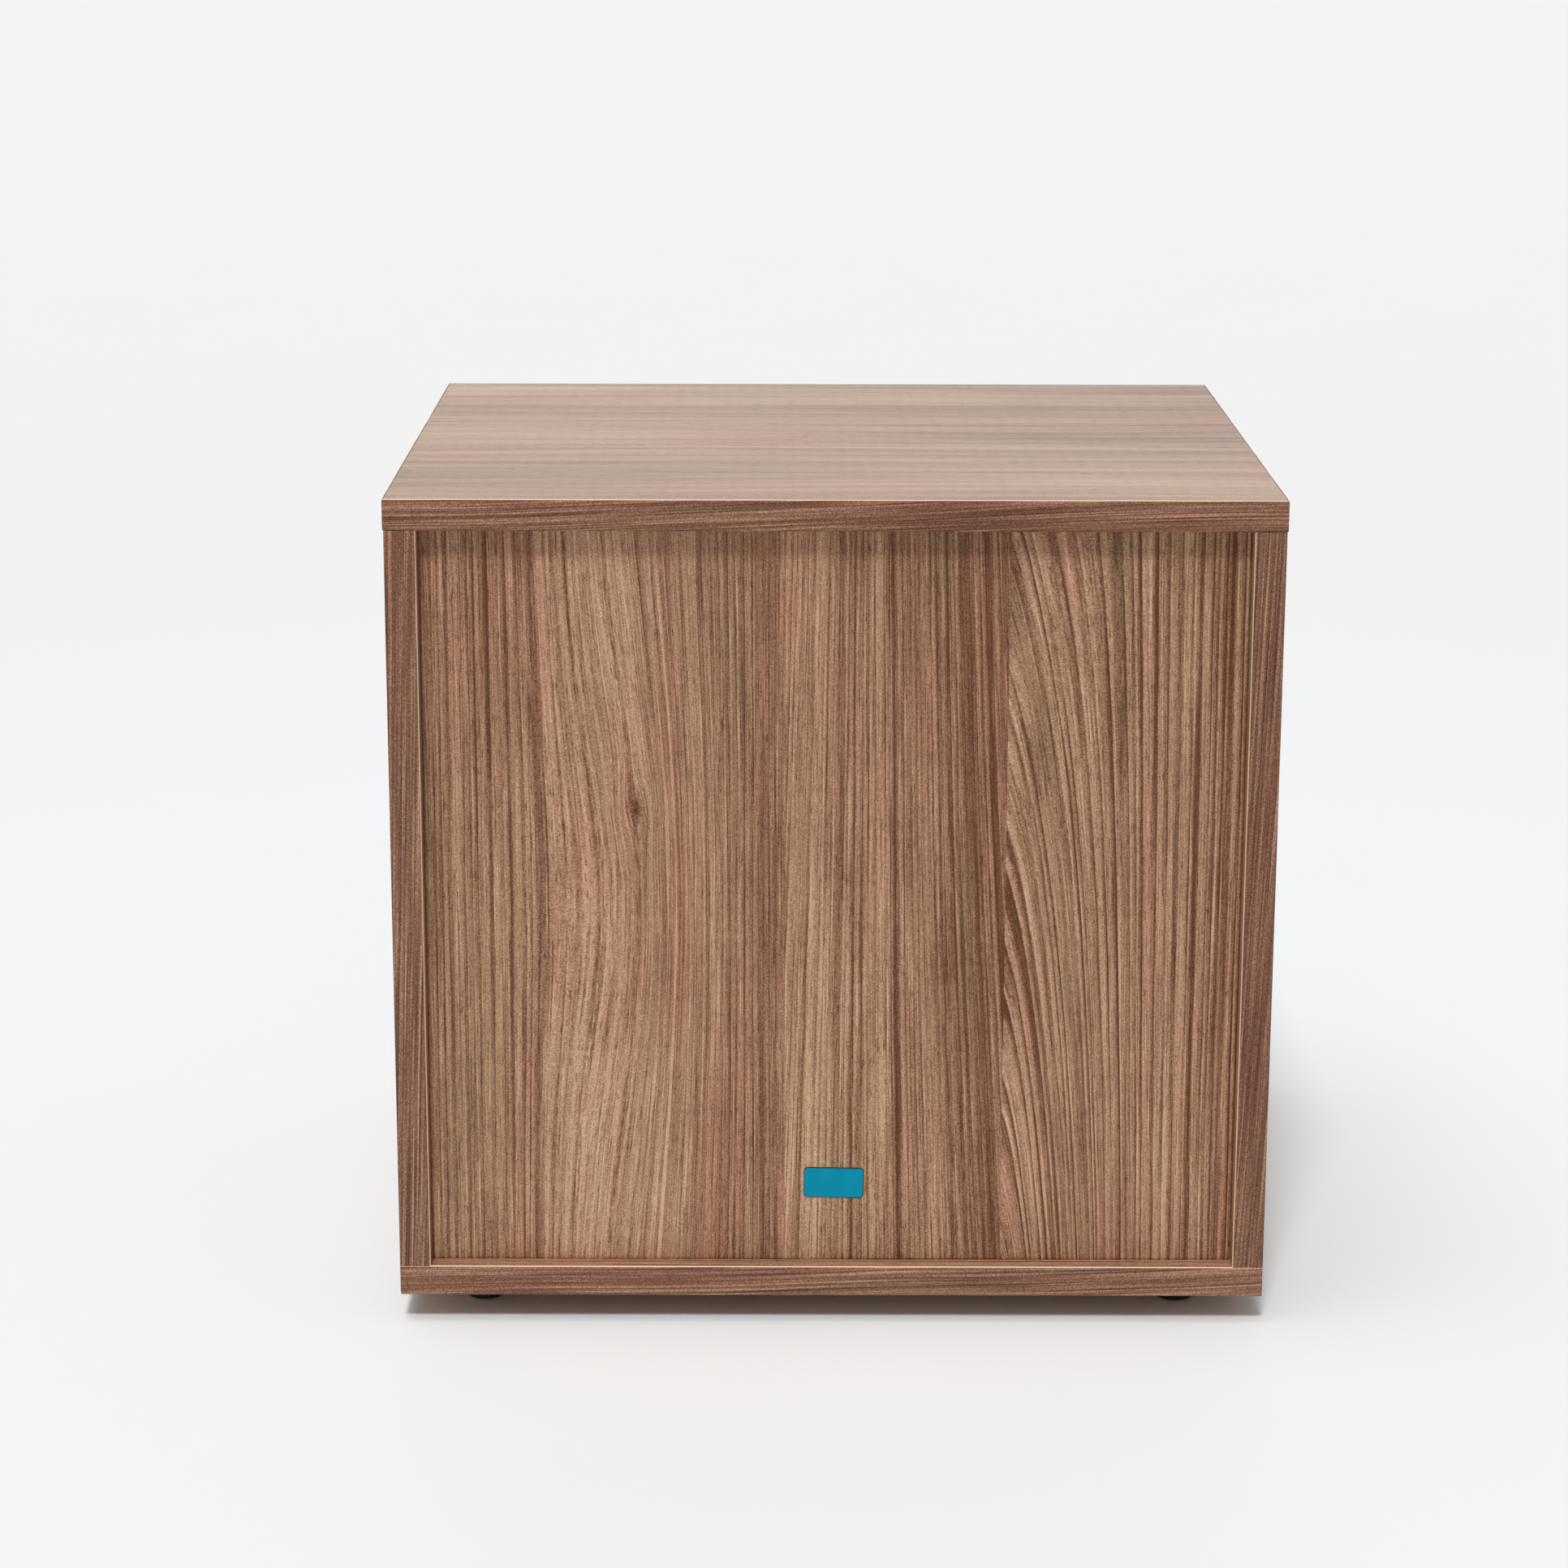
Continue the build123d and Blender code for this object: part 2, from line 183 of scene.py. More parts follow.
class Surface:
    """A material in the making: its nodes and the shader that they feed."""

    def __init__(self, name: str) -> None:
        """Start a material.

        Args:
            name: Name of the material.
        """
        self.material = bpy.data.materials.new(name)
        self.material.use_nodes = True
        self.tree = self.material.node_tree
        self.shader = self.tree.nodes["Principled BSDF"]

    def node(self, kind: str, *inputs: Input, **settings: object) -> Socket:
        """Add a node to this material, as add_node does."""
        return add_node(self.tree, kind, *inputs, **settings)

    def place(self) -> Socket:
        """Return the place on the object, in millimetres of the row frame."""
        at = self.node("TexCoord", out="Object")
        return self.node("VectorMath", at, (1 / MM,) * 3, operation="MULTIPLY")

    def marks(self, at: Socket, size: Sequence[float], detail: float = 2.0,
              rough: float = 0.5) -> Socket:
        """Scatter soft random marks.

        Args:
            at: Place in millimetres.
            size: Size of one mark along each part of the place.
            detail: How many finer layers the marks carry.
            rough: How strong each finer layer is beside the one before.

        Returns:
            A share that stays near one half.
        """
        scaled = self.node("VectorMath", at, [1 / s for s in size], operation="MULTIPLY")
        return self.node("TexNoise", scaled,
                         named={"Scale": 1.0, "Detail": detail, "Roughness": rough})

    def shade(self, **inputs: Input) -> bpy.types.Material:
        """Set or link inputs of the shader.

        Args:
            inputs: Values or sockets by input name, with an underscore for each space.

        Returns:
            The material.
        """
        for name, value in inputs.items():
            socket = self.shader.inputs[name.replace("_", " ")]
            if isinstance(value, Socket):
                self.tree.links.new(value, socket)
            else:
                socket.default_value = value
        return self.material


@dataclass(frozen=True)
class Streak:
    """Soft streaks of a wood print: their size across and along in mm, and how far they darken."""

    across: float
    along: float
    depth: float


@dataclass(frozen=True)
class Fibres:
    """Thin fibres of a wood print: their width and length in mm, and how far they darken.

    Each fibre fades in and out along its length. It starts to show at a level, and is full a
    little above it.
    """

    width: float
    length: float
    depth: float
    level: float = 0.5
    fade_in: float = 0.2


@dataclass(frozen=True)
class Rings:
    """Growth rings of a wood print: their gap in mm, how far and how late they darken.

    Their count drifts by a few rings, so that no two gaps are alike. Each late line drops off
    in the last part of its ring, has a strength of its own, and fades over long patches, whose
    size is in mm.
    """

    gap: Input
    depth: Input
    late: Input = 3.2
    drift: float = 1.8
    drift_rate: float = 0.55
    drop: float = 0.82
    faintest: float = 0.45
    fade_patch: tuple[float, float, float] = (8.0, 220.0, 1.0)
    fade_range: tuple[float, float] = (0.32, 0.62)
    fade_strength: tuple[float, float] = (0.55, 1.15)


@dataclass(frozen=True)
class Grain:
    """A place on a wood print: across and along its grain in mm, with a shift of its own."""

    across: Socket
    along: Socket
    seed: float

    def point(self, s: Surface, shift: float = 0.0) -> Socket:
        """Return the place as a vector, with one more shift."""
        return s.node("CombineXYZ", self.across, self.along, self.seed + shift)


@dataclass(frozen=True)
class WoodPrint:
    """A printed wood picture: its colours from late wood to pale wood, and its marks.

    The grain wanders by so many mm, and leans by a share of its run. The tone is the darkness
    that the marks add to, grit is how far single dots stray from it, and the colour is cast
    towards red and olive by turns. Patches are in mm, across and along the grain.
    """

    dark: str
    mid: str
    light: str
    pale: str
    red: str
    olive: str
    rings: Rings
    streaks: tuple[Streak, ...]
    fibres: tuple[Fibres, ...]
    pores: Fibres
    wander: float
    tone: float
    grit: float
    lean: float = 0.0
    cast: float = 0.35
    light_at: float = 0.36
    mid_at: float = 0.62
    cast_patch: tuple[float, float, float] = (26.0, 220.0, 1.0)
    red_full: float = 0.72
    olive_full: float = 0.28
    sway_patch: tuple[float, float, float] = (60.0, 330.0, 1.0)
    sway_detail: float = 4.0
    sway_rough: float = 0.3
    streak_range: tuple[float, float] = (0.34, 0.66)

    def ring_lines(self, s: Surface, grain: Grain, rings: Rings) -> Socket:
        """Draw growth rings that darken slowly up to a sharp late line.

        Args:
            s: Material in the making.
            grain: Place on the print.
            rings: The rings.

        Returns:
            The darkness that they add.
        """
        count = s.node("Math", grain.across, rings.gap, operation="DIVIDE")
        loose = s.node("TexNoise", noise_dimensions="1D", named={
            "W": count, "Scale": rings.drift_rate, "Detail": 1.0})
        count = s.node("Math", loose, rings.drift, count, operation="MULTIPLY_ADD")
        share = s.node("Math", count, operation="FRACT")
        late = s.node("Math", share, rings.late, operation="POWER")
        drop = s.node("MapRange", share, rings.drop, 1.0, 1.0, 0.0,
                      interpolation_type="SMOOTHSTEP")
        line = s.node("Math", late, drop, operation="MULTIPLY")
        number = s.node("Math", count, operation="FLOOR")
        number = s.node("Math", number, grain.seed + 0.5, operation="ADD")
        strong = s.node("TexWhiteNoise", named={"W": number}, noise_dimensions="1D")
        strong = s.node("MapRange", strong, 0.0, 1.0, rings.faintest, 1.0)
        line = s.node("Math", line, strong, operation="MULTIPLY")
        fade = s.marks(grain.point(s, FADE_SHIFT), rings.fade_patch)
        fade = s.node("MapRange", fade, *rings.fade_range, *rings.fade_strength)
        line = s.node("Math", line, fade, operation="MULTIPLY")
        return s.node("Math", line, rings.depth, operation="MULTIPLY")

    def fibre_lines(self, s: Surface, grain: Grain, fibres: Fibres, shift: float) -> Socket:
        """Draw one layer of fibres.

        Args:
            s: Material in the making.
            grain: Place on the print.
            fibres: The layer.
            shift: Shift of the layer.

        Returns:
            The fibres, from 0 where none shows to 1.
        """
        row = s.node("Math", grain.across, 1 / fibres.width, operation="MULTIPLY")
        row = s.node("Math", row, operation="FLOOR")
        row = s.node("Math", row, COLUMN_SHIFT, operation="MULTIPLY")
        run = s.node("Math", grain.along, 1 / fibres.length, operation="MULTIPLY")
        at = s.node("CombineXYZ", row, run, grain.seed + shift)
        level = s.node("TexNoise", at, named={"Scale": 1.0, "Detail": 1.0})
        full = fibres.level + fibres.fade_in
        return s.node("MapRange", level, fibres.level, full, 0.0, 1.0)

    def sway(self, s: Surface, grain: Grain) -> Grain:
        """Let straight grain lean, and wander a little from side to side.

        Args:
            s: Material in the making.
            grain: Place on the straight grain.

        Returns:
            The place on the bent grain.
        """
        sway = s.marks(grain.point(s), self.sway_patch, self.sway_detail, self.sway_rough)
        sway = s.node("Math", sway, -MIDDLE, operation="ADD")
        across = s.node("Math", grain.along, -self.lean, grain.across, operation="MULTIPLY_ADD")
        across = s.node("Math", sway, 2 * self.wander, across, operation="MULTIPLY_ADD")
        return Grain(across, grain.along, grain.seed)

    def darkness(self, s: Surface, grain: Grain, tone: Input = None,
                 rings: Rings | None = None) -> tuple[Socket, Socket]:
        """Draw the print's darkness.

        Args:
            s: Material in the making.
            grain: Place on the print.
            tone: Darkness that the marks add to, where it isn't the print's own.
            rings: Growth rings, where they aren't the print's own.

        Returns:
            The darkness, from pale at 0 to late wood at 1, and the pores, from 0 to 1.
        """
        dark = self.ring_lines(s, grain, rings or self.rings)
        dark = s.node("Math", dark, self.tone if tone is None else tone, operation="ADD")
        for streak in self.streaks:
            mark = s.marks(grain.point(s), (streak.across, streak.along, 1.0))
            mark = s.node("MapRange", mark, *self.streak_range, -streak.depth / 2,
                          streak.depth / 2)
            dark = s.node("Math", mark, dark, operation="ADD")
        for layer, fibres in enumerate(self.fibres, FIRST_FIBRES):
            line = self.fibre_lines(s, grain, fibres, FIBRE_SHIFT * layer)
            dark = s.node("Math", line, fibres.depth, dark, operation="MULTIPLY_ADD")
        pores = self.fibre_lines(s, grain, self.pores, PORE_SHIFT)
        dark = s.node("Math", pores, self.pores.depth, dark, operation="MULTIPLY_ADD")
        dots = s.node("VectorMath", grain.point(s), (1 / DOT,) * 3, operation="MULTIPLY")
        dots = s.node("TexWhiteNoise", s.node("VectorMath", dots, operation="FLOOR"))
        dots = s.node("MapRange", dots, 0.0, 1.0, -self.grit, self.grit)
        return s.node("Math", dots, dark, operation="ADD"), pores

    def ink(self, s: Surface, grain: Grain, dark: Socket) -> Socket:
        """Colour the print by its darkness, redder in some places and greyer in others.

        Args:
            s: Material in the making.
            grain: Place on the print.
            dark: Darkness of the print.

        Returns:
            The printed colour.
        """
        ink = s.node("ValToRGB", dark, stops=(
            (0.0, self.pale), (self.light_at, self.light), (self.mid_at, self.mid),
            (1.0, self.dark)))
        drift = s.marks(grain.point(s, CAST_SHIFT), self.cast_patch)
        for cast, full in ((self.red, self.red_full), (self.olive, self.olive_full)):
            share = s.node("MapRange", drift, MIDDLE, full, 0.0, self.cast)
            ink = s.node("Mix", data_type="RGBA", blend_type="COLOR", out=2,
                         named={0: share, 6: ink, 7: linear(cast)})
        return ink


# Melamine paper printed as walnut: a brown that runs evenly from pale early wood to late lines.
WALNUT_PRINT = WoodPrint(
    dark="#5a3115", mid="#8b6348", light="#ad8567", pale="#d6b093", red="#9c6850",
    olive="#9c7c5c", rings=Rings(5.2, 0.8),
    streaks=(Streak(30.0, 420.0, 0.12), Streak(9.0, 120.0, 0.08), Streak(2.4, 240.0, 0.12)),
    fibres=(Fibres(0.5, 70.0, 0.3, 0.52), Fibres(1.0, 150.0, 0.14, 0.48),
            Fibres(0.5, 16.0, 0.14, 0.54), Fibres(0.5, 50.0, -0.28, 0.54)),
    pores=Fibres(0.42, 9.0, 0.42, 0.58), wander=2.2, tone=0.3, grit=0.21, cast=0.5)

# The same paper where it runs along the top: broad quiet bands, rosy and grey by turns.
TOP_PRINT = replace(
    WALNUT_PRINT, rings=Rings(21.0, 0.36, 7.0),
    streaks=(Streak(60.0, 700.0, 0.28), Streak(14.0, 500.0, 0.2), Streak(5.0, 300.0, 0.17)),
    fibres=(Fibres(1.0, 150.0, 0.12), Fibres(1.0, 110.0, -0.12)), wander=14.0, tone=0.4,
    grit=0.1, cast=0.8)

# The band's narrower print: a darker, redder walnut with close wavy lines along the edge.
BAND_PRINT = WoodPrint(
    dark="#3f2013", mid="#6c4531", light="#8d644e", pale="#c49d85", red="#7a4a3c",
    olive="#7c5f4a", rings=Rings(2.3, 0.55),
    streaks=(Streak(8.0, 160.0, 0.18), Streak(1.4, 110.0, 0.3)),
    fibres=(Fibres(0.5, 110.0, 0.2), Fibres(0.5, 80.0, -0.26, 0.52)),
    pores=Fibres(0.5, 3.0, -0.3, 0.66), wander=6.0, tone=0.42, grit=0.2, lean=0.035)


@dataclass(frozen=True)
class Sheen:
    """How a printed face shines: roughness on pale and on dark print, and how much it mirrors.

    Its pores are pressed to a depth in mm, and its dark lines to a share of that.
    """

    pale_rough: float
    dark_rough: float
    mirror: float
    pore_depth: float = 0.05
    line_share: float = 0.35
    press: float = 0.35

    def finish(self, s: Surface, ink: Socket, dark: Socket,
               pores: Socket) -> bpy.types.Material:
        """Press the pores in and give the face its shine.

        Args:
            s: Material in the making.
            ink: Printed colour.
            dark: Darkness of the print.
            pores: Pores of the print.

        Returns:
            The material.
        """
        relief = s.node("Math", dark, self.line_share, pores, operation="MULTIPLY_ADD")
        relief = s.node("Math", relief, -1.0, operation="MULTIPLY")
        normal = s.node("Bump", named={
            "Height": relief, "Strength": self.press, "Distance": self.pore_depth * MM})
        rough = s.node("MapRange", dark, 0.0, 1.0, self.pale_rough, self.dark_rough)
        return s.shade(Base_Color=ink, Roughness=rough, Normal=normal, IOR=RESIN_IOR,
                       Specular_IOR_Level=self.mirror)


# Pressed against a satin plate: half matt from the front, with a pale gloss at a low angle.
SATIN = Sheen(0.26, 0.36, 0.5)

# Pressed against a coarse plate: its broken surface swallows half of what it would mirror.
MATT = Sheen(0.45, 0.58, 0.25)


@dataclass(frozen=True)
class Leaf:
    """One leaf of the panel's print, from its left edge to the next leaf, in mm.

    Its lines lean about a heart line, fan out from it and bow sideways at mid height. Near
    the heart its rings are quieter and wider, and it is paler about a line of its own.
    """

    left: float
    heart: float
    gap: float  # between rings
    tone: float  # darkness that the marks add to
    shift: float  # along the print, so that no two leaves are alike
    rings: float  # depth of the rings
    late: float  # how late in a ring they darken
    heart_rings: float = 0.0  # what the heart adds to their depth
    reach: float = 50.0  # of the heart, to each side
    spread: float = 0.0  # how far lines keep off the heart line
    lean: float = 0.0  # slope of the lines at the heart
    fan: float = 0.0  # slope that each mm off the heart adds
    bow: float = 0.0  # how far lines bow at mid height
    pale_line: float = 0.0
    pale_reach: float = 45.0
    pale: float = 0.0  # what the pale line takes off the tone
    tilt: float = 0.0  # tone that each mm off the heart adds


@dataclass(frozen=True)
class Line:
    """One strong line of the panel's print: its place and width on the grain, and its depth."""

    place: float
    width: float
    depth: float
    dashed: bool = False


@dataclass(frozen=True)
class Patch:
    """A soft dark or pale patch on the panel, of its print or of painted shade: its place and size
    in mm, and its depth.
    """

    x: float
    z: float
    width: float
    height: float
    depth: float


@dataclass(frozen=True)
class PanelPrint:
    """The walnut picture on the back panel: three leaves side by side, a knot and lines."""

    wood: WoodPrint
    leaves: tuple[Leaf, ...]
    lines: tuple[Line, ...]
    knot: Patch
    patches: tuple[Patch, ...]
    dashes: Fibres = Fibres(0.5, 11.0, 1.0, 0.42)
    middle: float = 225.0  # height of the panel's middle
    bow_reach: float = 36.0
    bow_height: float = 150.0
    heart_width: float = 10.0
    knot_push: float = 2.2  # how far the knot pushes lines aside
    knot_reach: float = 3.0  # sizes of the knot over which it pushes
    rise: float = 0.00025  # tone that each mm of height adds
    seed: float = 3.0

    def leaf_grain(self, s: Surface, leaf: Leaf, x: Socket, up: Socket) -> dict[str, Input]:
        """Bend the straight grain of a leaf.

        Args:
            s: Material in the making.
            leaf: The leaf.
            x: Place from left to right, in mm.
            up: Height above the panel's middle, in mm.

        Returns:
            The place across the bent grain in mm, the tone, and the rings' gap, depth and
            lateness.
        """
        off = s.node("Math", x, -leaf.heart, operation="ADD")
        near = self.bell(s, off, leaf.reach)
        slope = s.node("Math", near, leaf.lean, operation="MULTIPLY")
        slope = s.node("Math", off, leaf.fan, slope, operation="MULTIPLY_ADD")
        bent = s.node("Math", up, slope, off, operation="MULTIPLY_ADD")
        high = self.bell(s, up, self.bow_height)
        wide = self.bell(s, off, self.bow_reach)
        wide = s.node("Math", wide, high, operation="MULTIPLY")
        bent = s.node("Math", wide, -leaf.bow, bent, operation="MULTIPLY_ADD")
        close = s.node("Math", off, -1 / self.heart_width, operation="MULTIPLY")
        close = s.node("Math", close, operation="EXPONENT")
        bent = s.node("Math", close, leaf.spread, bent, operation="MULTIPLY_ADD")
        pale = self.bell(s, s.node("Math", x, -leaf.pale_line, operation="ADD"), leaf.pale_reach)
        tone = s.node("Math", pale, -leaf.pale, leaf.tone, operation="MULTIPLY_ADD")
        return {
            "grain": s.node("Math", bent, leaf.heart + leaf.shift, operation="ADD"),
            "tone": s.node("Math", off, leaf.tilt, tone, operation="MULTIPLY_ADD"),
            "gap": leaf.gap,
            "depth": s.node("Math", near, leaf.heart_rings, leaf.rings, operation="MULTIPLY_ADD"),
            "late": leaf.late,
        }

    def bell(self, s: Surface, off: Socket, reach: float) -> Socket:
        """Draw a bell curve.

        Args:
            s: Material in the making.
            off: Distance from its middle, in mm.
            reach: Distance at which it has dropped to about a third, in mm.

        Returns:
            A share: one in the middle, and nearly nothing at twice the reach.
        """
        share = s.node("Math", off, 1 / reach, operation="MULTIPLY")
        square = s.node("Math", share, share, operation="MULTIPLY")
        return s.node("Math", math.exp(-1.0), square, operation="POWER")

    def spot(self, s: Surface, patch: Patch, x: Socket, z: Socket, grown: float = 1.0) -> Socket:
        """Draw a soft spot over a patch.

        Args:
            s: Material in the making.
            patch: The patch.
            x: Place from left to right, in mm.
            z: Height, in mm.
            grown: How many times the patch's size the spot has.

        Returns:
            A share: one in the middle, fading outwards.
        """
        beside = s.node("Math", x, -patch.x, operation="ADD")
        above = s.node("Math", z, -patch.z, operation="ADD")
        return s.node("Math", self.bell(s, beside, grown * patch.width),
                      self.bell(s, above, grown * patch.height), operation="MULTIPLY")

    def material(self, name: str) -> bpy.types.Material:
        """Make the panel's material.

        Args:
            name: Name of the material.

        Returns:
            The material.
        """
        s = Surface(name)
        parts = s.node("SeparateXYZ", s.place()).node.outputs
        x, z = parts["X"], parts["Z"]
        up = s.node("Math", z, -self.middle, operation="ADD")
        first, *others = self.leaves
        drawn = self.leaf_grain(s, first, x, up)
        for leaf in others:
            over = s.node("Math", x, leaf.left, operation="GREATER_THAN")
            bent = self.leaf_grain(s, leaf, x, up)
            drawn = {k: s.node("Mix", over, named={2: drawn[k], 3: bent[k]}) for k in drawn}
        push = s.node("Math", x, -self.knot.x, operation="ADD")
        push = s.node("Math", push, -self.knot_push / self.knot.width, operation="MULTIPLY")
        pushed = self.spot(s, self.knot, x, z, self.knot_reach)
        across = s.node("Math", pushed, push, drawn["grain"], operation="MULTIPLY_ADD")
        grain = self.wood.sway(s, Grain(across, z, self.seed))
        rings = Rings(drawn["gap"], drawn["depth"], drawn["late"])
        tone = s.node("Math", up, self.rise, drawn["tone"], operation="MULTIPLY_ADD")
        dark, pores = self.wood.darkness(s, grain, tone, rings)
        dashes = self.wood.fibre_lines(s, grain, self.dashes, DASH_SHIFT)
        for line in self.lines:
            off = s.node("Math", grain.across, -line.place, operation="ADD")
            mark = self.bell(s, off, line.width)
            if line.dashed:
                mark = s.node("Math", mark, dashes, operation="MULTIPLY")
            dark = s.node("Math", mark, line.depth, dark, operation="MULTIPLY_ADD")
        for patch in (self.knot, *self.patches):
            dark = s.node("Math", self.spot(s, patch, x, z), patch.depth, dark,
                          operation="MULTIPLY_ADD")
        return MATT.finish(s, self.wood.ink(s, grain, dark), dark, pores)


# The panel's own sheet of that paper. The third patch darkens a strip along the panel's left edge
# beside the side board: painted shade. The last three patches are dark lines of dirt and painted
# shade in the corners where the panel enters its grooves at the sides and at the bottom.
PANEL_PRINT = PanelPrint(
    wood=WALNUT_PRINT,
    leaves=(
        Leaf(left=-216.0, heart=-104.0, gap=4.6, tone=0.39, shift=0.0, rings=1.1, late=4.0,
             heart_rings=-0.8, reach=36.0, bow=21.0, pale_line=-120.0, pale_reach=42.0, pale=0.19),
        Leaf(left=-24.5, heart=12.0, gap=3.7, tone=0.31, shift=300.0, rings=0.8, late=3.0,
             fan=0.0008, tilt=0.0027),
        Leaf(left=88.0, heart=88.0, gap=5.0, tone=0.26, shift=700.0, rings=1.2, late=2.0,
             lean=0.155, spread=5.8),
    ),
    lines=(
        Line(-155.3, 1.6, 0.2), Line(-137.1, 1.2, 0.34, True), Line(-120.5, 1.8, 0.34, True),
        Line(-93.5, 1.0, -0.22), Line(-91.2, 1.0, 0.2), Line(-72.9, 1.0, -0.2),
        Line(-70.5, 1.2, 0.2), Line(310.0, 0.9, 0.3), Line(331.0, 1.0, 0.36),
        Line(356.0, 0.9, 0.3), Line(373.0, 2.6, 0.3), Line(385.0, 1.4, 0.3),
    ),
    knot=Patch(-100.2, 273.8, 2.8, 5.8, 0.62),
    patches=(
        Patch(89.0, 183.0, 4.0, 26.0, 0.2), Patch(94.0, 335.0, 5.0, 26.0, -0.15),
        # The first patch on the next line is painted shade along the panel's left edge.
        Patch(-210.0, 255.0, 16.0, 300.0, 0.07), Patch(-29.0, 125.0, 16.0, 190.0, 0.13),
        Patch(101.0, 290.0, 9.0, 34.0, 0.2), Patch(127.0, 350.0, 12.0, 60.0, -0.15),
        Patch(124.0, 75.0, 12.0, 80.0, 0.14), Patch(163.0, 320.0, 8.0, 80.0, 0.1),
        Patch(-12.0, 90.0, 10.0, 90.0, -0.11), Patch(-63.0, 80.0, 11.0, 75.0, 0.11),
        Patch(-155.0, 95.0, 10.0, 60.0, -0.1),
        # Dark lines of dirt and painted shade where the panel enters its grooves.
        Patch(-208.5, 225.0, 1.1, 2000.0, 0.5), Patch(208.5, 225.0, 1.1, 2000.0, 0.5),
        Patch(0.0, 31.0, 2000.0, 0.8, 0.35),
    ),
)


def dress(node: str, material: bpy.types.Material) -> None:
    """Give a CAD node its material, and report it."""
    frame["nodes"][node].material_slots[0].material = material
    log.info("dressed %s in %s", node, material.name)


def grain_at(s: Surface, at: Socket, face: Axis, along: Axis, seed: float) -> Grain:
    """Lay straight grain on a face.

    Args:
        s: Material in the making.
        at: Place in millimetres.
        face: Way that the face looks.
        along: Way that the grain runs.
        seed: Shift of the print.

    Returns:
        The place on the print.
    """
    parts = s.node("SeparateXYZ", at).node.outputs
    (across,) = {Axis.X, Axis.Y, Axis.Z} - {face, along}
    return Grain(parts[across.value], parts[along.value], seed)


def facing(s: Surface, face: Axis) -> Socket:
    """Return how squarely the surface looks along an axis, from 0 to 1."""
    normal = s.node("SeparateXYZ", s.node("TexCoord", out="Normal")).node.outputs
    return s.node("Math", normal[face.value], operation="ABSOLUTE")


@dataclass(frozen=True)
class LaminatedBoard:
    """A board of the carcass: which way its printed grain runs, and its part of the print.

    Its core is chipboard: the size of a chip in mm, and colours from glue to pale chips.
    """

    node: str
    face: Axis
    along: Axis
    seed: float
    wood: WoodPrint = WALNUT_PRINT
    chip: float = 2.4
    chip_detail: float = 3.0
    core: tuple[tuple[float, str], ...] = (
        (0.35, "#7a5a38"), (0.48, "#b39065"), (0.56, "#c9aa7e"), (0.68, "#dcc49c"))

    def material(self) -> bpy.types.Material:
        """Make the board's laminate, with bare chipboard in its edges, holes and grooves.

        Returns:
            The material.
        """
        s = Surface(f"walnut_melamine_satin_{self.node}")
        at = s.place()
        grain = self.wood.sway(s, grain_at(s, at, self.face, self.along, self.seed))
        dark, pores = self.wood.darkness(s, grain)
        ink = self.wood.ink(s, grain, dark)
        chips = s.marks(at, (self.chip,) * 3, self.chip_detail)
        core = s.node("ValToRGB", chips, stops=self.core)
        pressed = s.node("Math", facing(s, self.face), PRESSED_FACE, operation="GREATER_THAN")
        ink = s.node("Mix", data_type="RGBA", out=2, named={0: pressed, 6: core, 7: ink})
        return SATIN.finish(s, ink, dark, pores)

    def dress(self) -> None:
        """Dress the board's node."""
        dress(self.node, self.material())


@dataclass(frozen=True)
class EdgeBand:
    """A banded edge: the face that it covers, the way that it runs, and its pale side.

    Where the band's rounded edge turns to that side it is paler: partly where the trimmer cut
    through the print, partly a painted highlight on the rounding.
    """

    node: str
    face: Axis
    along: Axis
    seed: float
    pale_side: Way = Way.NONE
    tone: float = 0.43
    # Colour, turn and share of the pale rounding: trimmed print and painted highlight.
    trim_and_highlight_colour: str = "#f2d0b4"
    trim_and_highlight_turn: tuple[float, float] = (0.25, 0.7)
    trim_and_highlight_share: float = 0.9

    def dress(self, wood: WoodPrint) -> None:
        """Dress the band's node in printed ABS, paler on the rounding towards its pale side:
        trimmed print and painted highlight.

        Args:
            wood: Print on the band.
        """
        s = Surface(f"printed_abs_band_{self.node}")
        grain = wood.sway(s, grain_at(s, s.place(), self.face, self.along, self.seed))
        dark, pores = wood.darkness(s, grain, self.tone)
        normal = s.node("TexCoord", out="Normal")
        towards = s.node("VectorMath", normal, self.pale_side.value, operation="DOT_PRODUCT",
                         out="Value")
        # Paler on the rounding towards the pale side: where the trimmer cut through the print, and
        # painted highlight.
        trim_and_highlight = s.node("MapRange", towards, *self.trim_and_highlight_turn, 0.0, self.trim_and_highlight_share)
        ink = s.node("Mix", data_type="RGBA", out=2, named={
            0: trim_and_highlight, 6: wood.ink(s, grain, dark), 7: linear(self.trim_and_highlight_colour)})
        dress(self.node, MATT.finish(s, ink, dark, pores))


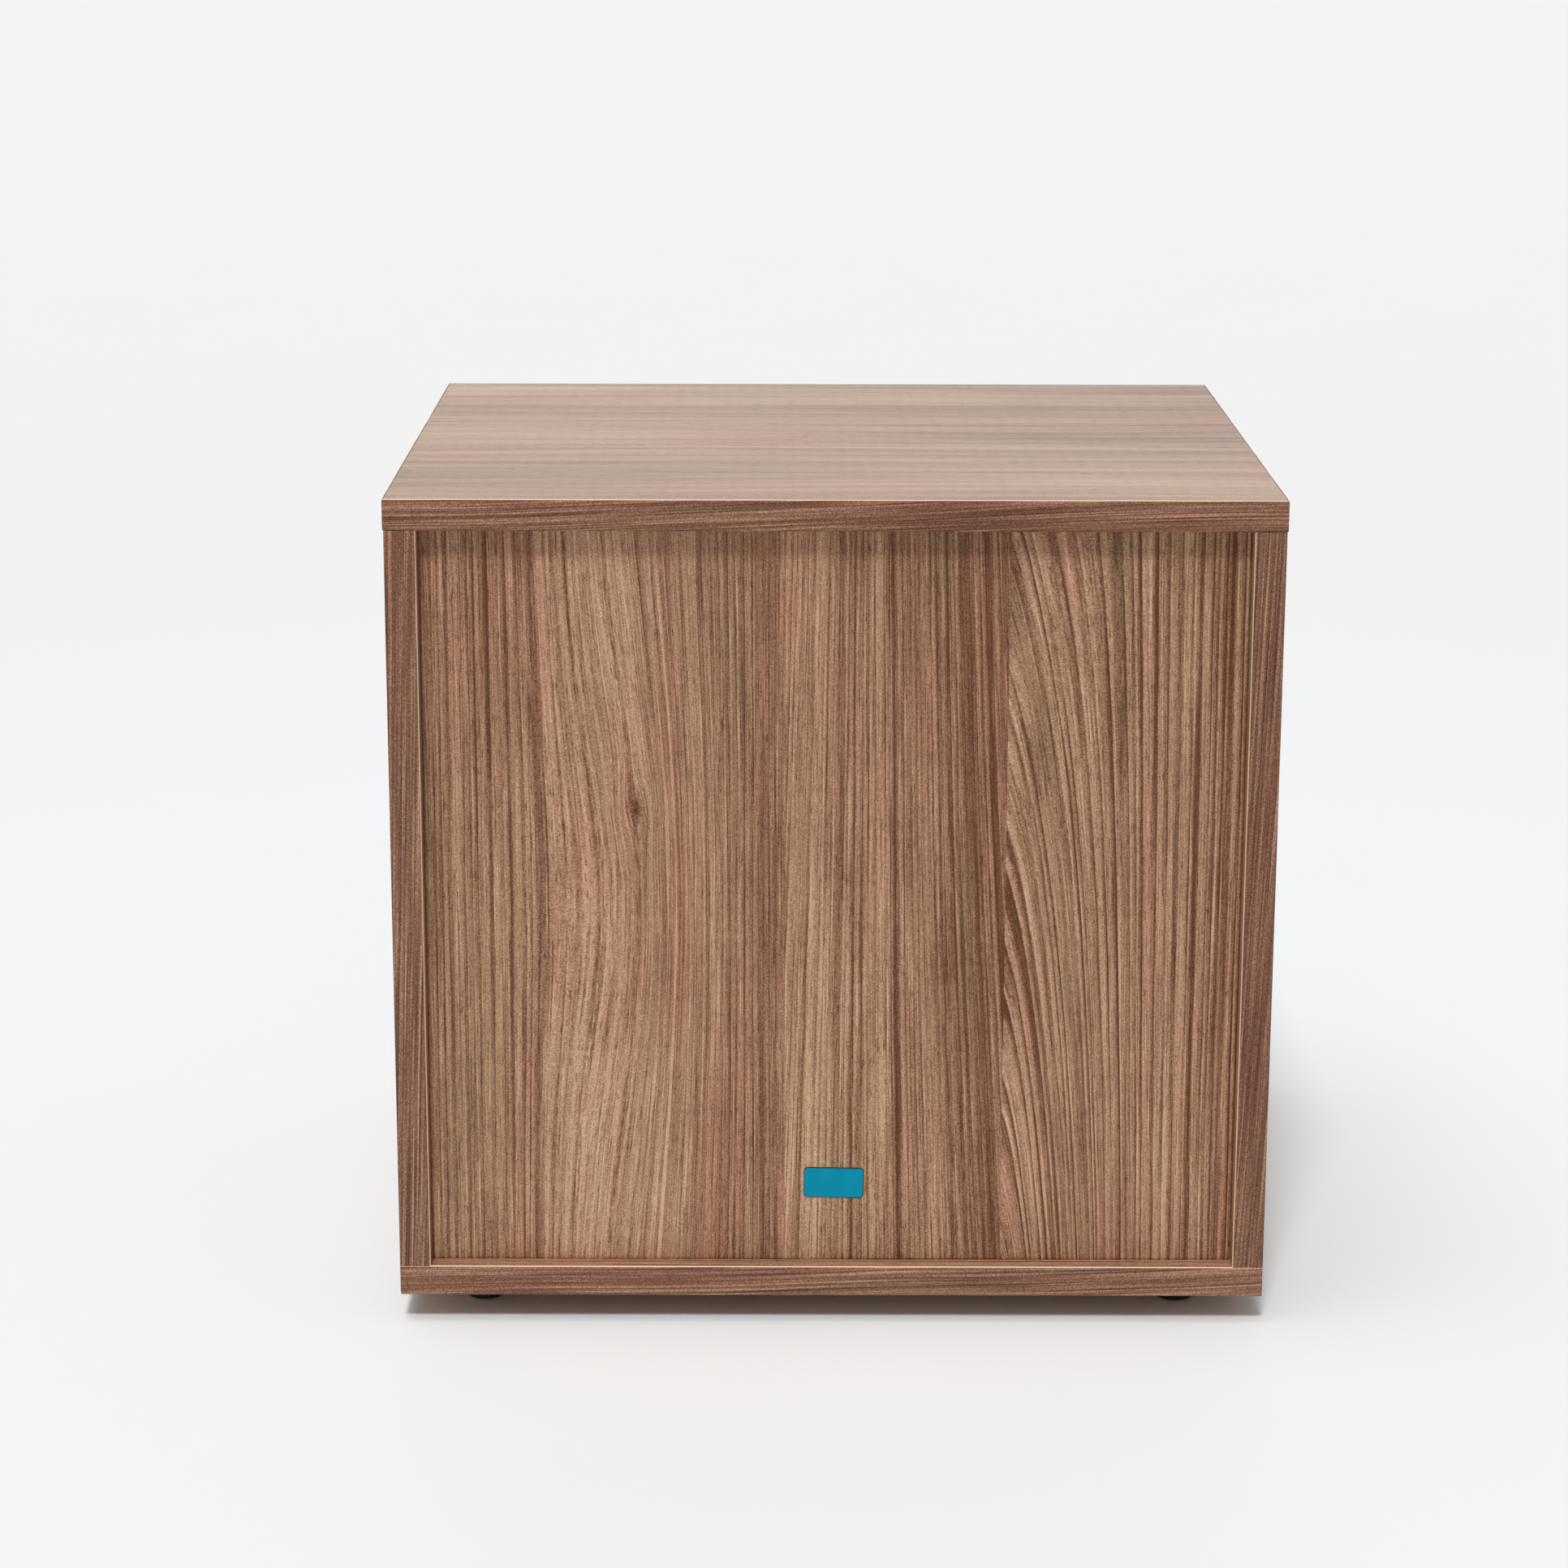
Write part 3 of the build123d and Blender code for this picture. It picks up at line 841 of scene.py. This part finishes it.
@dataclass(frozen=True)
class Finish:
    """A finish without a print: colours, polish and the size of the marks left by making it.

    Marks, the blotches of wear and the depth of the marks are in mm. A sheet that looks along
    Y may also have the colour of its cut edge.
    """

    name: str
    colour: str
    worn: str
    smooth: float
    rough: float
    mark: tuple[float, float, float]
    relief: float
    metallic: float = 0.0
    mirror: float = 0.5
    blotch: float = 7.0
    blotch_detail: float = 3.0
    wear_range: tuple[float, float] = (0.42, 0.72)
    rough_range: tuple[float, float] = (0.7, 1.3)
    press: float = 0.5
    cut_edge: str | None = None

    def material(self) -> bpy.types.Material:
        """Make the material.

        Returns:
            The material.
        """
        s = Surface(self.name)
        at = s.place()
        marks = s.marks(at, self.mark)
        blotch = s.marks(at, (self.blotch,) * 3, self.blotch_detail)
        wear = s.node("MapRange", blotch, *self.wear_range, 0.0, 1.0)
        tint = s.node("Mix", data_type="RGBA", out=2,
                      named={0: wear, 6: linear(self.colour), 7: linear(self.worn)})
        if self.cut_edge:
            cut = s.node("MapRange", facing(s, Axis.Y), *CUT_EDGE, 1.0, 0.0)
            tint = s.node("Mix", data_type="RGBA", out=2,
                          named={0: cut, 6: tint, 7: linear(self.cut_edge)})
        mixed = s.node("Math", marks, blotch, operation="ADD")
        rough = s.node("MapRange", mixed, *self.rough_range, self.smooth, self.rough)
        normal = s.node("Bump", named={
            "Height": marks, "Strength": self.press, "Distance": self.relief * MM})
        return s.shade(Base_Color=tint, Roughness=rough, Normal=normal, Metallic=self.metallic,
                       Specular_IOR_Level=self.mirror)


# Zinc alloy, die cast and tumbled: grey and softly mottled, with a skin that scatters light.
CAST_ZINC = Finish("zinc_die_cast", "#a4a6a8", "#8b8d90", 0.34, 0.5, (0.5, 0.5, 0.5), 0.03, 1.0)

# Steel, turned and zinc plated: bright and cool, with close rings left by the lathe.
PLATED_STEEL = Finish("steel_zinc_plated", "#c6c8c7", "#b3b09f", 0.22, 0.36, (6.0, 6.0, 0.3),
                      0.01, 1.0)

# Polypropylene, moulded in a spark-eroded tool: a fine even grain and a low sheen.
BROWN_PLASTIC = Finish("polypropylene_moulded_brown", "#5f3f2c", "#6d4b36", 0.42, 0.58,
                       (0.5, 0.5, 0.5), 0.03)
# The black's colours are darkened and browned: painted shade, for the pads that stand in the shade
# under the unit.
BLACK_PLASTIC = Finish("polypropylene_moulded_black", "#130e0c", "#1d1714", 0.5, 0.66,
                       (0.5, 0.5, 0.5), 0.03, mirror=0.3)

# Acrylic sheet, coloured through and laser cut: smooth and even, with a coat that keeps glare
# off it and a dark line where the beam burnt its edge.
TEAL_PLATE = Finish("acrylic_cut_teal", "#008aa8", "#048fae", 0.3, 0.42, (1.2, 1.2, 1.2), 0.01,
                    mirror=0.08, cut_edge="#0b3640")

# Beech, turned: pale pinkish wood with short dark flecks along the pin.
BEECH_PRINT = WoodPrint(
    dark="#a87b52", mid="#c79f74", light="#d3ae85", pale="#dfc09a", red="#c99a70",
    olive="#cba77c", rings=Rings(1.6, 0.3), streaks=(Streak(2.0, 20.0, 0.2),),
    fibres=(Fibres(0.4, 6.0, 0.3),), pores=Fibres(0.4, 2.0, 0.4), wander=0.6, tone=0.3,
    grit=0.1)


def ring(radii: Sequence[float], heights: Sequence[float]) -> list[Vector]:
    """Place the points of one loop round the Z axis.

    Args:
        radii: Radius of each point, in mm.
        heights: Height of each point, in mm.

    Returns:
        The points, in metres.
    """
    step = math.tau / len(radii)
    return [
        Vector((r * math.cos(i * step), r * math.sin(i * step), z)) * MM
        for i, (r, z) in enumerate(zip(radii, heights))
    ]


def skin(name: str, loops: Sequence[Sequence[Vector]], material: bpy.types.Material,
         sharp: float = 32.0) -> bpy.types.Object:
    """Stretch a closed skin over loops of points and close both ends.

    Args:
        name: Name of the piece.
        loops: Loops with the same number of points, from one end to the other.
        material: Finish of the piece.
        sharp: Angle in degrees over which an edge stays sharp.

    Returns:
        The piece, linked to the scene.
    """
    work = bmesh.new()
    rows = [[work.verts.new(point) for point in loop] for loop in loops]
    for low, high in zip(rows, rows[1:]):
        for i in range(len(low)):
            j = (i + 1) % len(low)
            work.faces.new((low[i], low[j], high[j], high[i]))
    work.faces.new(rows[0])
    work.faces.new(rows[-1])
    bmesh.ops.recalc_face_normals(work, faces=work.faces)
    mesh = bpy.data.meshes.new(name)
    work.to_mesh(mesh)
    work.free()
    mesh.shade_smooth()
    mesh.set_sharp_from_angle(angle=math.radians(sharp))
    mesh.materials.append(material)
    piece = bpy.data.objects.new(name, mesh)
    bpy.context.scene.collection.objects.link(piece)
    log.info("built %s with %d faces", name, len(mesh.polygons))
    return piece


@dataclass(frozen=True)
class BackPlate:
    """The bare plate on the back panel: a thin rounded sheet with softly broken edges.

    The broken edge goes from the panel to the plate's face, in mm inwards and outwards.
    """

    width: float = 31.0
    height: float = 16.2
    corner: float = 2.0
    tilt: float = -1.0
    corner_steps: int = 8
    broken_edge: tuple[tuple[float, float], ...] = (
        (0.0, 0.0), (0.0, 0.5), (0.05, 0.64), (0.16, 0.75), (0.3, 0.79), (0.5, 0.8))

    def outline(self, inset: float) -> list[tuple[float, float]]:
        """Trace the rounded outline.

        Args:
            inset: Distance inside the plate's edge, in mm.

        Returns:
            Points right and up from the plate's middle, in mm.
        """
        radius = self.corner - inset
        right, up = self.width / 2 - self.corner, self.height / 2 - self.corner
        points = []
        for quarter, (x, z) in enumerate(((right, up), (-right, up), (-right, -up), (right, -up))):
            for step in range(self.corner_steps + 1):
                turn = math.pi / 2 * (quarter + step / self.corner_steps)
                points.append((x + radius * math.cos(turn), z + radius * math.sin(turn)))
        return points

    def build(self) -> None:
        """Build the plate where its CAD node is."""
        low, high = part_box("back_plate")
        middle = (low + high) / 2
        panel_face = high.y
        turn = Matrix.Rotation(math.radians(-self.tilt), 4, "Y")
        place = Matrix.Translation((middle.x, panel_face, middle.z)) @ turn
        loops = [
            [place @ (Vector((x, -out, z)) * MM) for x, z in self.outline(inset)]
            for inset, out in self.broken_edge
        ]
        plate = skin("back_plate_sheet", loops, TEAL_PLATE.material())
        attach(plate, "carcass")
        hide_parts("back_plate")


@dataclass(frozen=True)
class LevellingFoot:
    """One levelling foot: a pad on the floor and a threaded stud that its nut turns.

    The stud's button and tip are given by radius and height.
    """

    end: End
    side: Side
    around: int = 48
    button: tuple[tuple[float, float], ...] = (
        (4.6, 1.5), (4.9, 1.6), (5.0, 1.9), (5.0, 3.1), (4.9, 3.4), (4.6, 3.5))
    nut_sides: int = 6
    nut_across: float = 10.0
    nut_low: float = 10.0
    nut_high: float = 14.0
    nut_face: float = 4.85
    nut_bevel: float = 30.0
    thread_radius: float = 3.0
    thread_depth: float = 0.61
    thread_pitch: float = 1.0
    thread_flat: float = 0.15
    thread_high: float = 26.7
    run_in: float = 0.8
    rows_per_turn: int = 10
    tip: tuple[float, float] = (2.2, 27.5)

    @property
    def name(self) -> str:
        """Name of the foot."""
        return f"{self.end.value}_{self.side.value}_foot"

    def turned_loops(self, profile: Sequence[tuple[float, float]]) -> list[list[Vector]]:
        """Return one round loop for each radius and height of a turned profile."""
        return [ring([r] * self.around, [z] * self.around) for r, z in profile]

    def nut_loops(self) -> list[list[Vector]]:
        """Shape the nut, with its corners turned off at both faces.

        Returns:
            The loops, from low to high.
        """
        across = self.nut_across / 2
        step, flat = math.tau / self.around, math.tau / self.nut_sides
        radii = [across / math.cos(i * step % flat - flat / 2) for i in range(self.around)]
        falls = [(r - self.nut_face) * math.tan(math.radians(self.nut_bevel)) for r in radii]
        low, high = self.turned_loops([(self.nut_face, z) for z in (self.nut_low, self.nut_high)])
        return [
            low,
            ring(radii, [self.nut_low + fall for fall in falls]),
            ring(radii, [self.nut_high - fall for fall in falls]),
            high,
        ]

    def thread_loops(self) -> list[list[Vector]]:
        """Shape the thread, which runs in from its core above the nut.

        Returns:
            The loops, from low to high.
        """
        start, slope = self.nut_high, 1 - 2 * self.thread_flat
        count = round((self.thread_high - start) / self.thread_pitch * self.rows_per_turn)
        loops = []
        for row in range(count + 1):
            z = start + row * self.thread_pitch / self.rows_per_turn
            full = min(1.0, (z - start) / self.run_in)
            radii = []
            for i in range(self.around):
                turn = (z / self.thread_pitch - i / self.around) % 1.0
                rise = (abs(2 * turn - 1) - self.thread_flat) / slope
                flank = min(1.0, max(0.0, rise))
                radii.append(self.thread_radius - self.thread_depth * (1 - full * flank))
            loops.append(ring(radii, [z] * self.around))
        return loops

    def build(self, steel: bpy.types.Material, plastic: bpy.types.Material) -> None:
        """Build the stud on its axis and dress the pad.

        Args:
            steel: Finish of the stud.
            plastic: Finish of the pad.
        """
        button_top = self.button[-1][1]
        neck = [(self.thread_radius, z) for z in (button_top, self.nut_low)]
        loops = [*self.turned_loops([*self.button, *neck]), *self.nut_loops(),
                 *self.thread_loops(), *self.turned_loops([self.tip])]
        stud = skin(f"{self.name}_threaded_stud", loops, steel)
        low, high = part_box(f"{self.name}_pad")
        stud.location = ((low.x + high.x) / 2, (low.y + high.y) / 2, 0.0)
        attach(stud, f"{self.name}_stud")
        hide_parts(f"{self.name}_stud")
        dress(f"{self.name}_pad", plastic)


@dataclass(frozen=True)
class JointFittings:
    """Cam locks, bolts, caps and dowels of the corner joints, and the sockets of the feet."""

    dowel_seed: float = 2.0
    dowel_rough: tuple[float, float] = (0.6, 0.75)

    def dress(self, steel: bpy.types.Material) -> None:
        """Dress the fittings.

        Args:
            steel: Finish of the bolts and sockets.
        """
        dress("cam_locks", CAST_ZINC.material())
        dress("cam_bolts", steel)
        dress("foot_sockets", steel)
        dress("cam_cover_caps", BROWN_PLASTIC.material())
        s = Surface("beech_turned")
        grain = grain_at(s, s.place(), Axis.Y, Axis.Z, self.dowel_seed)
        dark, _ = BEECH_PRINT.darkness(s, grain)
        rough = s.node("MapRange", dark, 0.0, 1.0, *self.dowel_rough)
        ink = BEECH_PRINT.ink(s, grain, dark)
        dress("joint_dowels", s.shade(Base_Color=ink, Roughness=rough))


@dataclass(frozen=True)
class Camera:
    """The photograph's view: place, aim in degrees and lens, found from the box's corners."""

    place: tuple[float, float, float] = (-25.8, -2098.9, 766.6)
    pitch: float = 14.0913
    yaw: float = 0.0175
    roll: float = 0.1256
    lens: float = 89.162
    sensor: float = 36.0

    def build(self) -> None:
        """Set the camera up and make it the scene's own."""
        data = bpy.data.cameras.new("photo_camera")
        data.lens = self.lens
        data.sensor_width = self.sensor
        data.sensor_fit = "HORIZONTAL"
        camera = bpy.data.objects.new("photo_camera", data)
        bpy.context.scene.collection.objects.link(camera)
        turn = (
            Matrix.Rotation(math.radians(-self.yaw), 4, "Z")
            @ Matrix.Rotation(math.radians(90 - self.pitch), 4, "X")
            @ Matrix.Rotation(math.radians(self.roll), 4, "Z")
        )
        camera.matrix_world = Matrix.Translation(Vector(self.place) * MM) @ turn
        bpy.context.scene.camera = camera


@dataclass(frozen=True)
class Lamp:
    """A wide soft lamp far off: its light, and its spread and place in degrees."""

    name: str
    light: float
    spread: float
    height: float
    left: float

    def build(self) -> None:
        """Hang the lamp."""
        data = bpy.data.lights.new(self.name, "SUN")
        data.energy = self.light
        data.angle = math.radians(self.spread)
        lamp = bpy.data.objects.new(self.name, data)
        lamp.rotation_euler = (
            math.radians(90 - self.height), 0.0, math.radians(-self.left))
        bpy.context.scene.collection.objects.link(lamp)


@dataclass(frozen=True)
class Studio:
    """A white floor that runs on without end, an even pale room and two wide soft lamps.

    About the unit the floor is painted a lighter, cooler white: painted light that offsets the
    unit's shade and the warm light that it throws on the floor. Far off it is a plain grey white.
    """

    floor_size: float = 60000.0
    floor_mark: float = 300.0
    floor_near_painted_light: str = "#fafdff"
    floor_worn_painted_light: str = "#f8fbfd"
    floor_far: str = "#f6f6f6"
    painted_light_fade: tuple[float, float] = (600.0, 1800.0)
    rough_range: tuple[float, float] = (0.3, 0.7)
    floor_rough: tuple[float, float] = (0.55, 0.65)
    room_colour: str = "#f2f2f1"
    room_light: float = 0.3
    lamps: tuple[Lamp, ...] = (
        Lamp("camera_side_lamp", light=1.63, spread=10.0, height=55.0, left=8.0),
        Lamp("ceiling_lamp", light=0.72, spread=34.0, height=79.0, left=60.0),
    )

    def floor(self) -> None:
        """Lay the floor."""
        mesh = bpy.data.meshes.new("studio_floor")
        half = self.floor_size / 2 * MM
        corners = [(-half, -half, 0.0), (half, -half, 0.0), (half, half, 0.0), (-half, half, 0.0)]
        mesh.from_pydata(corners, [], [(0, 1, 2, 3)])
        s = Surface("painted_studio_floor")
        at = s.place()
        worn = s.marks(at, (self.floor_mark,) * 3)
        # Near the unit the floor is painted lighter and cooler: painted light against the unit's
        # shade and warm bounce.
        tint = s.node("Mix", data_type="RGBA", out=2, named={
            0: worn, 6: linear(self.floor_near_painted_light), 7: linear(self.floor_worn_painted_light)})
        away = s.node("VectorMath", at, operation="LENGTH", out="Value")
        far = s.node("MapRange", away, *self.painted_light_fade, 0.0, 1.0)
        tint = s.node("Mix", data_type="RGBA", out=2,
                      named={0: far, 6: tint, 7: linear(self.floor_far)})
        rough = s.node("MapRange", worn, *self.rough_range, *self.floor_rough)
        mesh.materials.append(s.shade(Base_Color=tint, Roughness=rough))
        floor = bpy.data.objects.new("studio_floor", mesh)
        bpy.context.scene.collection.objects.link(floor)

    def room(self) -> None:
        """Light the room evenly, and show it pale to the camera and in reflections."""
        world = bpy.data.worlds.new("studio_room")
        bpy.context.scene.world = world
        world.use_nodes = True
        tree = world.node_tree
        tree.nodes.clear()
        ray = add_node(tree, "LightPath").node.outputs
        seen = add_node(tree, "Math", ray["Is Camera Ray"], ray["Is Glossy Ray"],
                        operation="MAXIMUM")
        seen = add_node(tree, "Math", seen, ray["Is Transmission Ray"], operation="MAXIMUM")
        lit = add_node(tree, "Background", (1.0, 1.0, 1.0, 1.0), self.room_light)
        shown = add_node(tree, "Background", linear(self.room_colour), 1.0)
        mixed = add_node(tree, "MixShader", seen, lit, shown)
        output = tree.nodes.new("ShaderNodeOutputWorld")
        tree.links.new(mixed, output.inputs["Surface"])

    def build(self) -> None:
        """Set up floor, room and lamps."""
        self.floor()
        self.room()
        for lamp in self.lamps:
            lamp.build()
        bpy.context.scene.view_settings.view_transform = "Standard"


BOARDS = (
    LaminatedBoard("top_board", Axis.Z, Axis.X, 31.0, TOP_PRINT),
    LaminatedBoard("bottom_board", Axis.Z, Axis.X, 23.0),
    LaminatedBoard("left_side_board", Axis.X, Axis.Z, 37.0),
    LaminatedBoard("right_side_board", Axis.X, Axis.Z, 41.0),
)

BANDS = (
    EdgeBand("top_rear_edge_band", Axis.Y, Axis.X, 5.0, Way.UP),
    EdgeBand("top_front_edge_band", Axis.Y, Axis.X, 6.0, Way.UP),
    EdgeBand("top_left_edge_band", Axis.X, Axis.Y, 7.0),
    EdgeBand("top_right_edge_band", Axis.X, Axis.Y, 8.0),
    EdgeBand("bottom_rear_edge_band", Axis.Y, Axis.X, 9.0, Way.UP, tone=0.38),
    EdgeBand("bottom_front_edge_band", Axis.Y, Axis.X, 10.0, Way.UP),
    EdgeBand("bottom_left_edge_band", Axis.X, Axis.Y, 12.0),
    EdgeBand("bottom_right_edge_band", Axis.X, Axis.Y, 13.0),
    EdgeBand("left_side_rear_edge_band", Axis.Y, Axis.Z, 14.0, Way.RIGHT),
    EdgeBand("left_side_front_edge_band", Axis.Y, Axis.Z, 15.0, Way.RIGHT),
    # This band's print is darkened past the others (tone 0.46): painted shade on the side away
    # from the lamps.
    EdgeBand("right_side_rear_edge_band", Axis.Y, Axis.Z, 16.0, Way.LEFT, tone=0.46),
    EdgeBand("right_side_front_edge_band", Axis.Y, Axis.Z, 17.0, Way.LEFT),
)


def main() -> None:
    """Build and dress the unit, then the studio around it."""
    for board in BOARDS:
        board.dress()
    for band in BANDS:
        band.dress(BAND_PRINT)
    dress("back_panel", PANEL_PRINT.material("walnut_melamine_matt_back_panel"))
    BackPlate().build()
    steel = PLATED_STEEL.material()
    JointFittings().dress(steel)
    black_plastic = BLACK_PLASTIC.material()
    for end in End:
        for side in Side:
            LevellingFoot(end, side).build(steel, black_plastic)
    Studio().build()
    Camera().build()


if __name__ == "__main__":
    main()
